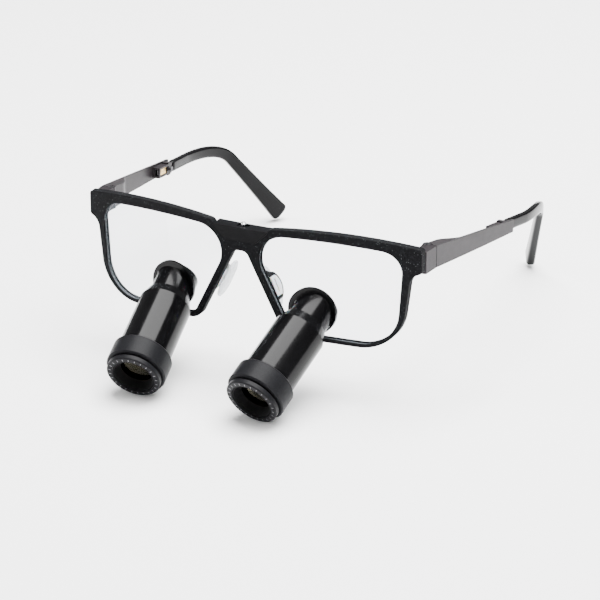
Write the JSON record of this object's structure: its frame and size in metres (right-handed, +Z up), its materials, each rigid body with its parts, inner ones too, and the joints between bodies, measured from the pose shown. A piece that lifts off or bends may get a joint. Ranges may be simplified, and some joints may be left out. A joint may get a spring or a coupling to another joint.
{
  "type": "dental loupes",
  "caption": "Dental loupes: grainy black full-rim frame with prism telescopes set through clear lenses, gunmetal folding temples and length-adjustable ear tips.",
  "frame": {"origin": "middle of the footprint on the table that the loupes stand on, on their two telescope rings and two ear tips", "axes": "+X towards the wearer's left, +Y from the telescopes back to the ear tips, +Z up; the wearer looks along -Y"},
  "size_m": [0.156, 0.1976, 0.0626],
  "materials": {
    "printed_frame": "grainy, printed",
    "bridge_satin": "satin",
    "bright_steel": "polished",
    "clear_lens": "clear, coated",
    "gloss_barrel": "gloss black anodised",
    "matte_ring": "matt black anodised",
    "black_aluminium": "matt black",
    "coated_glass": "coated",
    "arm_black": "smooth",
    "clip_clear": "translucent white",
    "silicone": "clear soft",
    "gunmetal": "satin gunmetal",
    "dark_screw": "blackened",
    "spring_steel": "satin",
    "brass": "plain",
    "gloss_tip": "gloss"
  },
  "bodies": {
    "front": {"front_frame": "printed_frame", "bridge_block": "bridge_satin", "bridge_pin": "bright_steel", "carrier_lens_left": "clear_lens", "carrier_lens_right": "clear_lens", "barrel_left": "gloss_barrel", "barrel_right": "gloss_barrel", "outer_ring_left": "matte_ring", "outer_ring_right": "matte_ring", "face_ring_left": "matte_ring", "face_ring_right": "matte_ring", "glare_hood_left": "matte_ring", "glare_hood_right": "matte_ring", "objective_lens_left": "coated_glass", "objective_lens_right": "coated_glass", "objective_spacer_left": "black_aluminium", "objective_spacer_right": "black_aluminium", "prism_carrier_left": "black_aluminium", "prism_carrier_right": "black_aluminium", "prisms_left": "coated_glass", "prisms_right": "coated_glass", "ocular_tube_left": "gloss_barrel", "ocular_tube_right": "gloss_barrel", "field_lens_left": "coated_glass", "field_lens_right": "coated_glass", "eyepiece_spacer_left": "black_aluminium", "eyepiece_spacer_right": "black_aluminium", "eyepiece_lens_left": "coated_glass", "eyepiece_lens_right": "coated_glass", "lens_flange_left": "gloss_barrel", "lens_flange_right": "gloss_barrel", "nose_arm_left": "arm_black", "nose_arm_right": "arm_black", "pad_clip_left": "clip_clear", "pad_clip_right": "clip_clear", "nose_pad_left": "silicone", "nose_pad_right": "silicone", "hinge_leaf_left": "gunmetal", "hinge_leaf_right": "gunmetal", "hinge_screw_left": "dark_screw", "hinge_screw_right": "dark_screw"},
    "temple_left": {"temple_arm_left": "gunmetal", "temple_sleeve_left": "gunmetal", "clamp_screw_left": "dark_screw", "slide_detent_left": "brass"},
    "tip_left": {"tip_tongue_left": "spring_steel", "ear_tip_left": "gloss_tip"},
    "temple_right": {"temple_arm_right": "gunmetal", "temple_sleeve_right": "gunmetal", "clamp_screw_right": "dark_screw", "slide_detent_right": "brass"},
    "tip_right": {"tip_tongue_right": "spring_steel", "ear_tip_right": "gloss_tip"}
  },
  "joints": [
    {"name": "temple_hinge_left", "type": "hinge", "parent": "front", "child": "temple_left", "pos_m": [0.0678, -0.03376, 0.05378], "axis": [0, 0, 1], "range_deg": [0, 84]},
    {"name": "tip_slide_left", "type": "slide", "parent": "temple_left", "child": "tip_left", "axis": [0.0959, 0.9868, -0.1305], "range_m": [0, 0.006]},
    {"name": "temple_hinge_right", "type": "hinge", "parent": "front", "child": "temple_right", "pos_m": [-0.0678, -0.03376, 0.05378], "axis": [0, 0, -1], "range_deg": [0, 91]},
    {"name": "tip_slide_right", "type": "slide", "parent": "temple_right", "child": "tip_right", "axis": [-0.0959, 0.9868, -0.1305], "range_m": [0, 0.006]}
  ]
}
